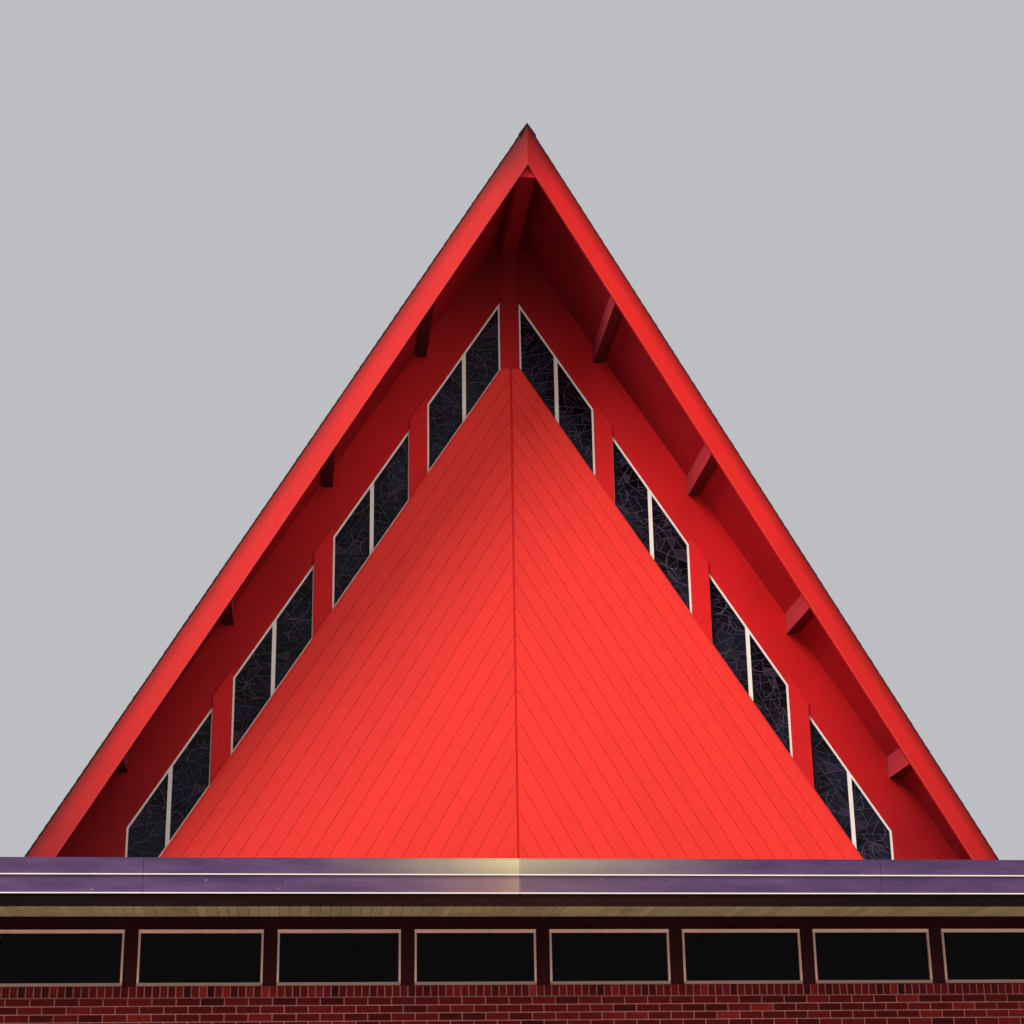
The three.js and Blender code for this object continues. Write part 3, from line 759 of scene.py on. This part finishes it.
def wing_eaves():
    """Fascia sheets in two steps with a lip along the top, and a pale edge along the foot of each step, its
    near-white a painted highlight.
    """
    sheet = Builder()
    for out, low, high in ((0, FASCIA_STEP, FASCIA_TOP), (-STEP_BACK, BOARD_TOP, FASCIA_STEP)):
        eave_run(sheet, [(out, high), (-SHEET_BACK, high), (-SHEET_BACK, low), (out, low)])
    low, high = FASCIA_TOP - LIP_RISE, FASCIA_TOP + LIP_RISE
    eave_run(sheet, [(LIP_OUT, low), (LIP_OUT, high), (-LIP_BACK, high), (-LIP_BACK, FASCIA_TOP - 0.0001)])
    sheet.make("wing_fascia_sheets", "fascia", "fascia_metal", ["wing_fascia"], 0.003)
    trim = Builder()
    for out, low in ((EDGE_OUT, FASCIA_STEP), (EDGE_OUT - STEP_BACK, BOARD_TOP + 0.0005)):
        back, high = out - EDGE_THICK, low + EDGE_HIGH
        eave_run(trim, [(out, low), (out, high), (back, high), (back, low)])
    trim.make("wing_fascia_edges", "trim", "fascia_metal", (), 0.001)


def board_spans(start, length):
    """Soffit boards side by side over a length, with a gap between neighbours."""
    count = int(length / SOFFIT_BOARD)
    step = length / count
    starts = [start + i * step for i in range(count)]
    return [(a + SOFFIT_GAP / 2, a + step - SOFFIT_GAP / 2) for a in starts]


def wing_soffit():
    """Boards square to the eaves."""
    soffit = Builder()
    z0, z1 = HEADER_TOP, HEADER_TOP + SOFFIT_THICK
    y0, y1 = SHEET_BACK + GAP, EAVE_OUT - GAP
    x_end = WING_HALF + EAVE_OUT - y0
    for a, b in board_spans(-x_end, 2 * x_end):
        soffit.box(a, b, y0, y1, z0, z1, rng.random())
    for side in (-1, 1):
        x0, x1 = sorted((side * (WING_HALF + GAP), side * x_end))
        for a, b in board_spans(y1, WING_BACK - y1):
            soffit.box(x0, x1, a, b, z0, z1, rng.random())
    soffit.make("wing_soffit_boards", "tan", "soffit", ["wing_soffit"])


# Gable boards

# BOARD_STEP is a board's width along the foot. Boards get steeper by BOARD_FAN for each metre from the
# triangle's outer end.
BOARD_STEP, BOARD_FAN, BOARD_GAP = 0.228, 0.062, 0.0024
BOARD_BACK = 0.061
BOARD_STARTS = {"left": 0.030, "right": 0.050}
BOARD_APEX = SASH_LINE_Z - SASH_DROP
BOARD_PEAK = BOARD_APEX - SLOPE * SASH_START
SEAM_HALF, SLIT_HALF = 0.014, 0.0003


def clip(polygon, a, b, c):
    """Part of a polygon with a*x + b*z <= c."""
    out = []
    for i, p in enumerate(polygon):
        q = polygon[(i + 1) % len(polygon)]
        dp, dq = a * p[0] + b * p[1] - c, a * q[0] + b * q[1] - c
        if dp <= 0:
            out.append(p)
        if dp * dq < 0:
            t = dp / (dp - dq)
            out.append((p[0] + t * (q[0] - p[0]), p[1] + t * (q[1] - p[1])))
    return out


def gable_boards(end):
    """Two fans of boards that meet at a middle seam; they get steeper towards it."""
    face, out = gable_face(end)
    bottom = FASCIA_TOP + GAP
    reach = (BOARD_APEX - bottom) / SLOPE

    def half_gable(inner):
        return [(inner, bottom), (reach, bottom), (SASH_START, BOARD_PEAK), (inner, BOARD_PEAK)]

    for side, word in SIDES:
        boards, back = Builder(), Builder()
        edges = [BOARD_STARTS[word] + i * BOARD_STEP for i in range(-1, int(reach / BOARD_STEP) + 2)]
        for x0, x1 in zip(edges, edges[1:]):
            m0, m1 = SLOPE + BOARD_FAN * (reach - x0), SLOPE + BOARD_FAN * (reach - x1)
            piece = clip(half_gable(SEAM_HALF), m1, 1, bottom + m1 * (x1 - BOARD_GAP))
            piece = clip(piece, -m0, -1, -(bottom + m0 * (x0 + BOARD_GAP))) if piece else piece
            if len(piece) >= 3:
                outline = [(side * x, z) for x, z in piece]
                boards.upright(outline, face + out * PANEL_THICK, face + out * BOARD_BACK, rng.random())
        outline = [(side * x, z) for x, z in half_gable(SLIT_HALF)]
        back.upright(outline, face + out * (BOARD_BACK - 0.0001), face + out * GAP, 0.0)
        node = f"{end}_boarding_{word}"
        boards.make(f"{end}_boards_{word}", "boarding", "red_boarding", [node], 0.004)
        back.make(f"{end}_boards_back_{word}", "post", "red_boarding")


# Leaded windows

# CUT_LEADS and ARC_LEADS are ranges of width and of tone.
PIECE_AREA, PIECE_SPREAD = 0.013, (0.4, 2.2)
PANE_THICK = 0.005
PANE_LAP, RAKE_LAP = 0.006, 0.012
LEAD_DEPTHS = (-0.003, 0.004)
SHORTEST_LEAD = 0.004
CUT_LEADS = ((0.002, 0.0040), (0.0, 0.6))
ARC_LEADS = ((0.003, 0.0055), (0.5, 1.0))
ARCS, ARC_RADIUS, ARC_SWEEP, ARC_CHORD = 9, (0.08, 0.32), (0.8, 2.4), 0.03


def area(polygon):
    total = 0.0
    for (x0, z0), (x1, z1) in zip(polygon, polygon[1:] + polygon[:1]):
        total += x0 * z1 - x1 * z0
    return abs(total) / 2


def shards(outline):
    """Cuts a pane by straight lines in random directions; gives the pieces and the cuts."""
    pieces, cuts, waiting = [], [], [list(outline)]
    while waiting:
        polygon = waiting.pop()
        if area(polygon) < PIECE_AREA * rng.uniform(*PIECE_SPREAD):
            pieces.append(polygon)
            continue
        xs, zs = zip(*polygon)
        centre_x = sum(xs) / len(xs) + rng.uniform(-0.02, 0.02)
        centre_z = sum(zs) / len(zs) + rng.uniform(-0.03, 0.03)
        is_wide = max(xs) - min(xs) > max(zs) - min(zs)
        angle = rng.gauss(0.0 if is_wide else math.pi / 2, 0.55)
        a, b = math.cos(angle), math.sin(angle)
        c = a * centre_x + b * centre_z
        one, two = clip(polygon, a, b, c), clip(polygon, -a, -b, -c)
        if len(one) < 3 or len(two) < 3:
            pieces.append(polygon)
            continue
        ends = [p for p in one if abs(a * p[0] + b * p[1] - c) < 1e-6]
        cuts.append((ends[0], ends[-1]))
        waiting += [one, two]
    return pieces, cuts


def holds(outline, point):
    """Whether a point lies inside a pane, which has no inward corner."""
    signs = [(x1 - x0) * (point[1] - z0) - (z1 - z0) * (point[0] - x0) > 0
             for (x0, z0), (x1, z1) in zip(outline, outline[1:] + outline[:1])]
    return all(signs) or not any(signs)


def arcs(outline):
    """Loose curved lead lines across a pane, as short chords inside it."""
    found = []
    xs, zs = zip(*outline)
    for _ in range(ARCS):
        radius = rng.uniform(*ARC_RADIUS)
        x, z = rng.uniform(min(xs), max(xs)), rng.uniform(min(zs), max(zs))
        start, sweep = rng.uniform(0, 2 * math.pi), rng.uniform(*ARC_SWEEP)
        steps = max(4, int(sweep * radius / ARC_CHORD))
        angles = [start + sweep * i / steps for i in range(steps + 1)]
        line = [(x + radius * math.cos(angle), z + radius * math.sin(angle)) for angle in angles]
        found += [(p, q) for p, q in zip(line, line[1:]) if holds(outline, p) and holds(outline, q)]
    return found


def lead_strip(builder, p, q, y0, y1, width, tone):
    """A straight strip of lead from p to q."""
    (px, pz), (qx, qz) = p, q
    dx, dz = qx - px, qz - pz
    length = math.hypot(dx, dz)
    if length < SHORTEST_LEAD:
        return
    nx, nz = -dz / length * width / 2, dx / length * width / 2
    outline = [(px + nx, pz + nz), (qx + nx, qz + nz), (qx - nx, qz - nz), (px - nx, pz - nz)]
    builder.upright(outline, y0, y1, tone)


def sash_panes(index):
    """Outlines of a window's two panes, which reach a little way behind its bars."""
    x0 = SASH_START + index * MODULE
    middle = x0 + SASH_WIDTH / 2
    slant = SASH_BAR * RAKE - RAKE_LAP
    halves = ((x0 + SASH_BAR - PANE_LAP, middle - SASH_MULLION / 2 + PANE_LAP),
              (middle + SASH_MULLION / 2 - PANE_LAP, x0 + SASH_WIDTH - SASH_BAR + PANE_LAP))
    return [[(a, sash_top(a) - SASH_DROP + slant), (b, sash_top(b) - SASH_DROP + slant),
             (b, sash_top(b) - slant), (a, sash_top(a) - slant)] for a, b in halves]


def gable_windows(end):
    face, out = gable_face(end)
    near = face - out * (GLASS_DEPTH + 0.001)
    far = near - out * PANE_THICK
    depths = [near - out * depth for depth in LEAD_DEPTHS]
    for side, word in SIDES:
        glass, leads = Builder(), Builder()
        for index in range(SASHES):
            for pane in sash_panes(index):
                pieces, cuts = shards(pane)
                for polygon in pieces:
                    glass.upright([(side * x, z) for x, z in polygon], near, far, rng.random())
                for lines, (widths, tones) in ((cuts, CUT_LEADS), (arcs(pane), ARC_LEADS)):
                    for p, q in lines:
                        ends = (side * p[0], p[1]), (side * q[0], q[1])
                        lead_strip(leads, *ends, *depths, rng.uniform(*widths), rng.uniform(*tones))
        glass.make(f"{end}_leaded_glass_{word}", "leaded", "glass", [f"{end}_gable_glass_{word}"])
        leads.make(f"{end}_leading_{word}", "lead", "glass")


# Roof

# Lifts are counted square to the slope; RIDGE_FACTOR makes a cap's lift higher on the ridge line itself.
COURSE, HEADLAP = 0.127, 0.045
TAB, TAB_GAP, SHORTEST_TAB = 0.31, 0.004, 0.05
SHINGLE_UNDER, SHINGLE_THICK, BUTT = 0.001, 0.006, 0.006
EDGE_OVER, EAVE_OVER = 0.012, 0.03
CAP_REACH, CAP_STEP, CAP_LAP = 0.100, 0.145, 0.03
CAP_UNDER, CAP_FRONT, CAP_BACK, RIDGE_FACTOR = 0.006, 0.016, 0.014, 1.8


def roof_point(side, x, y, lift):
    return (side * (x + SLOPE / RAKE * lift), y, roof_top(x) + lift / RAKE)


def shingle_tone():
    return min(max(middling_tone(), 0), 1)


def front_edge(x):
    return APEX_Y + PROW * x


def rear_edge(x):
    return REAR_APEX_Y - PROW * x


def lowest_front(x):
    """The overhang stops on the wing's roof, so courses below it start behind the wing."""
    above_wing = roof_top(x) > FASCIA_TOP + 0.02
    return front_edge(x) - EDGE_OVER if above_wing else WING_BACK + 0.002


def shingle_course(tiles, side, course, low):
    """One course of tabs; low is the distance from the ridge down the slope to its lower edge."""
    x_low, x_high = low / RAKE, max(low - COURSE - HEADLAP, 0.0) / RAKE
    front_low, front_high = lowest_front(x_low), lowest_front(x_high)
    if abs(front_low - front_high) > 0.2:
        front_high = front_low
    rear_low, rear_high = rear_edge(x_low) + EDGE_OVER, rear_edge(x_high) + EDGE_OVER
    first, last = max(front_low, front_high) + SHORTEST_TAB, min(rear_low, rear_high) - SHORTEST_TAB
    shift = (TAB / 2 if course % 2 else 0) + rng.uniform(-0.02, 0.02)
    lines = [shift + i * TAB for i in range(int(first / TAB) - 1, int(last / TAB) + 2)]
    edges = [-math.inf, *(y for y in lines if first < y < last), math.inf]
    for y0, y1 in zip(edges, edges[1:]):
        butt = BUTT + rng.uniform(-0.0015, 0.002)
        foot = x_low + rng.uniform(-0.0025, 0.0025) / RAKE
        corners = ((foot, max(y0 + TAB_GAP, front_low)), (foot, min(y1 - TAB_GAP, rear_low)),
                   (x_high, min(y1 - TAB_GAP, rear_high)), (x_high, max(y0 + TAB_GAP, front_high)))
        lifts = (butt + SHINGLE_THICK, butt + SHINGLE_THICK, SHINGLE_THICK, SHINGLE_THICK)
        tiles.hexa([roof_point(side, x, y, SHINGLE_UNDER) for x, y in corners]
                   + [roof_point(side, x, y, lift) for (x, y), lift in zip(corners, lifts)], shingle_tone())


def shingles():
    total = EAVE_HALF * RAKE + EAVE_OVER
    for side, word in SIDES:
        tiles = Builder()
        for course in range(math.ceil(total / COURSE)):
            shingle_course(tiles, side, course, total - course * COURSE)
        tiles.make(f"roof_shingles_{word}", "shingle", "shingle")


def ridge_caps():
    caps = Builder()
    y, end = front_edge(0) - EDGE_OVER, rear_edge(0) + EDGE_OVER
    while y < end:
        y1 = min(y + CAP_STEP + CAP_LAP, end)
        for side in (-1, 1):
            lift = CAP_FRONT + rng.uniform(-0.001, 0.001)
            under = RIDGE_Z + 2 * CAP_UNDER
            caps.hexa([(0, y, under), roof_point(side, CAP_REACH, y, CAP_UNDER),
                       roof_point(side, CAP_REACH, y1, CAP_UNDER), (0, y1, under),
                       (0, y, RIDGE_Z + lift * RIDGE_FACTOR), roof_point(side, CAP_REACH, y, lift),
                       roof_point(side, CAP_REACH, y1, CAP_BACK), (0, y1, RIDGE_Z + CAP_BACK * RIDGE_FACTOR)],
                      shingle_tone())
        y += CAP_STEP
    caps.make("ridge_caps", "shingle", "shingle")


# Doors

# The doors' face lies DOOR_DEPTH behind the wall's; the other depths are counted outwards from it.
DOOR_DEPTH = 0.12
JAMB, JAMB_DEPTHS = 0.05, (-0.06, 0.03)
LEAF_SPAN = (0.004, DOOR_SIDE - 0.053)
LEAF_HEIGHTS = (0.012, DOOR_TOP - 0.053)
PLANKS, PLANK_GAP = 6, 0.0015
RAIL_FEET, RAIL_HIGH = (0.05, 0.95, 1.95), 0.14
HANDLE_X, HANDLE_HALF, HANDLE_DEPTHS, HANDLE_HEIGHTS = 0.09, 0.012, (0.045, 0.062), (0.85, 1.35)
BRACKET_FEET, BRACKET_HIGH, BRACKET_OUT = (0.9, 1.29), 0.02, 0.05
HINGE_X, HINGE_FEET, HINGE_HIGH, HINGE_OUT = DOOR_SIDE - 0.056, (0.25, 1.1, 1.9), 0.1, 0.012
SMALL_HALF = 0.008


def door_leaf(wood, metal, side, y):
    """Planks on a backing with three rails, and a handle on two brackets and three hinges."""
    x0, x1 = LEAF_SPAN
    step = (x1 - x0) / PLANKS
    for i in range(PLANKS):
        a = x0 + i * step
        left, right = sorted((side * (a + PLANK_GAP), side * (a + step - PLANK_GAP)))
        wood.box(left, right, y - 0.02, y, *LEAF_HEIGHTS, rng.random())
    left, right = sorted((side * x0, side * x1))
    wood.box(left, right, y - 0.045, y - 0.021, *LEAF_HEIGHTS, 0.3)
    for z in RAIL_FEET:
        wood.box(left + 0.01, right - 0.01, y - 0.001, y + 0.014, z, z + RAIL_HIGH, 0.6)
    x = side * HANDLE_X
    metal.box(x - HANDLE_HALF, x + HANDLE_HALF, *(y + depth for depth in HANDLE_DEPTHS), *HANDLE_HEIGHTS)
    for z in BRACKET_FEET:
        metal.box(x - SMALL_HALF, x + SMALL_HALF, y, y + BRACKET_OUT, z, z + BRACKET_HIGH)
    x = side * HINGE_X
    for z in HINGE_FEET:
        metal.box(x - SMALL_HALF, x + SMALL_HALF, y, y + HINGE_OUT, z, z + HINGE_HIGH)


def rear_doors():
    wood, metal = Builder(), Builder()
    half, inner = DOOR_SIDE, DOOR_SIDE - JAMB
    y = REAR_FACE - DOOR_DEPTH
    near, far = [y + depth for depth in JAMB_DEPTHS]
    for x0, x1, low in ((-half, -inner, 0.001), (inner, half, 0.001), (-inner, inner, DOOR_TOP - JAMB)):
        wood.box(x0, x1, near, far, low, DOOR_TOP)
    for side in (-1, 1):
        door_leaf(wood, metal, side, y)
    wood.make("rear_door_leaves", "door", "door_wood", ["rear_doors"], 0.002)
    metal.make("rear_door_handles", "handle", "door_wood", (), 0.002)


# Barge trims

# A strip's name and look, drops below the roof's top line, how far it stands out, its edges' tones and bevel.
# The upper strip is a band of painted shadow under the shingle edge; the lip is painted lighter as a
# highlight.
BARGE_STRIPS = (("stain", "stained", (0.002, 0.290), 0.002, (0.0, 1.0), 0.0),
                ("lip", "lip", (0.548, 0.571), 0.007, (0.5, 0.5), 0.002))
STRIP_BACK = 0.002


def barge_strip(name, look, side, end, foot, drops, proud, tones, bevel):
    """A strip along a barge between two drops, with a tone for its upper and its lower edge."""
    place, out = (front_edge, -1) if end == "front" else (rear_edge, 1)
    low, high = drops
    outline = ((0.0, low), (foot, low), (foot, high), (0.0, high))
    near, far = [[(side * x, place(x) + out * depth, roof_top(x) - drop) for x, drop in outline]
                 for depth in (proud, -STRIP_BACK)]
    strip = Builder()
    strip.prism(near, far)
    middle = (low + high) / 2
    strip.tones = [tones[0] if roof_top(x) - z < middle else tones[1] for x, _, z in strip.points]
    strip.make(name, look, "red_board", (), bevel)


def barge_trims():
    """A band of painted shadow along the upper edge, under the shingles, and a small lip painted lighter as a
    highlight along the lower edge of each barge.
    """
    front_foot = (RIDGE_Z - BARGE_RISE - FASCIA_TOP - 0.01) / SLOPE
    rear_foot = EAVE_HALF - 0.002
    for end, foot in (("front", front_foot), ("rear", rear_foot)):
        for side, word in SIDES:
            for kind, look, *rest in BARGE_STRIPS:
                barge_strip(f"{end}_barge_{kind}_{word}", look, side, end, foot, *rest)


# Posts

# POST_RISE is counted up from the sashes' top line, and POST_OVER is how far a post covers the next sash.
POST_PROUD, POST_RISE, POST_OVER = 0.030, 0.130, 0.013
CENTRE_HALF, CENTRE_PROUD = 0.128, 0.012
POST_GAP = 0.002


def gable_posts(end):
    """Flat posts between the sloping windows, a little proud of the wall."""
    face, out = gable_face(end)
    posts = Builder()
    near, far = face + out * 0.001, face + out * POST_PROUD
    half, low, high = CENTRE_HALF, BOARD_PEAK + POST_GAP, roof_under(CENTRE_HALF) - UNDER_ROOF
    posts.upright([(-half, low), (half, low), (half, high), (0, roof_under(0) - UNDER_ROOF), (-half, high)],
                  near, face + out * CENTRE_PROUD)
    for side in (-1, 1):
        for index in range(SASHES - 1):
            x0 = SASH_START + index * MODULE + SASH_WIDTH + POST_GAP
            x1 = SASH_START + (index + 1) * MODULE + POST_OVER
            feet = [(x, sash_top(x) - SASH_DROP + POST_GAP) for x in (x0, x1)]
            tops = [(x, sash_top(x) + POST_RISE) for x in (x1, x0)]
            posts.upright([(side * x, z) for x, z in feet + tops], near, far)
    posts.make(f"{end}_gable_posts", "post", "wall_paint", (), 0.004)


# Solids that stay, with a better material

# Words in a node's name, its look and its bevel.
CAD_LOOKS = [
    ("barge", "red", 0.005), ("wing_roof_deck", "gravel", 0), ("roof_", "soffit_red", 0),
    ("purlin", "beam", 0.006), ("ridge_beam", "ridge", 0.006), ("gable_wall", "wall", 0),
    ("gable_lining", "wall", 0), ("_windows_", "cream", 0.003),
    ("wing_eave_board", "eave", 0.003), ("_floor", "concrete", 0),
]


def dress_cad():
    for name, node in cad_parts.items():
        for key, look, width in CAD_LOOKS:
            if key in name and not node.hide_render:
                node.data.materials.clear()
                node.data.materials.append(LOOKS[look])
                if width:
                    soften(node, width)
                break


# Floor, light and camera


def stage():
    """A pale floor, a plain sky and the lamps."""
    mesh = bpy.data.meshes.new("floor")
    corners = ((-1, -1), (1, -1), (1, 1), (-1, 1))
    mesh.from_pydata([(x * FLOOR_HALF, y * FLOOR_HALF, -FLOOR_DROP) for x, y in corners], [], [(0, 1, 2, 3)])
    floor = add_object("floor", mesh)
    mesh.materials.append(paint("pale_floor", (214, 214, 212), 0.01, (0.8, 0.9), 3.0, 0.0))
    world = bpy.data.worlds.new("studio")
    world.use_nodes = True
    background = world.node_tree.nodes["Background"]
    fill(world.node_tree, background, {"Color": SKY_COLOUR, "Strength": SKY_STRENGTH})
    bpy.context.scene.world = world
    for name, direction, power, angle, colour in LAMPS:
        light = bpy.data.lights.new(name, "SUN")
        light.energy = power
        light.angle = math.radians(angle)
        light.color = colour
        lamp = add_object(name, light)
        lamp.rotation_mode = "QUATERNION"
        lamp.rotation_quaternion = Vector(direction).to_track_quat("-Z", "Y")


def camera():
    data = bpy.data.cameras.new("camera")
    data.sensor_width = SENSOR
    data.sensor_fit = "HORIZONTAL"
    data.lens = SENSOR * FOCAL_PIXELS / PICTURE_PIXELS
    data.clip_end = CAMERA_REACH
    cam = add_object("camera", data)
    cos_pitch, sin_pitch = math.cos(CAMERA_PITCH), math.sin(CAMERA_PITCH)
    cos_yaw, sin_yaw = math.cos(CAMERA_YAW), math.sin(CAMERA_YAW)
    cos_roll, sin_roll = math.cos(CAMERA_ROLL), math.sin(CAMERA_ROLL)
    right = Vector((cos_yaw, -sin_yaw, 0))
    up = Vector((-sin_yaw * sin_pitch, -cos_yaw * sin_pitch, cos_pitch))
    ahead = Vector((sin_yaw * cos_pitch, cos_yaw * cos_pitch, sin_pitch))
    right, up = cos_roll * right - sin_roll * up, sin_roll * right + cos_roll * up
    turn = Matrix((right, up, -ahead)).transposed().to_4x4()
    cam.matrix_world = Matrix.Translation(row(CAMERA_PLACE)) @ turn
    bpy.context.scene.camera = cam
    bpy.context.scene.view_settings.view_transform = "Standard"


# The whole scene, in order

camera()
stage()
all_brickwork()
all_window_rows()
wing_eaves()
wing_soffit()
for which in ("front", "rear"):
    gable_boards(which)
    gable_posts(which)
    gable_windows(which)
shingles()
ridge_caps()
rear_doors()
barge_trims()
dress_cad()
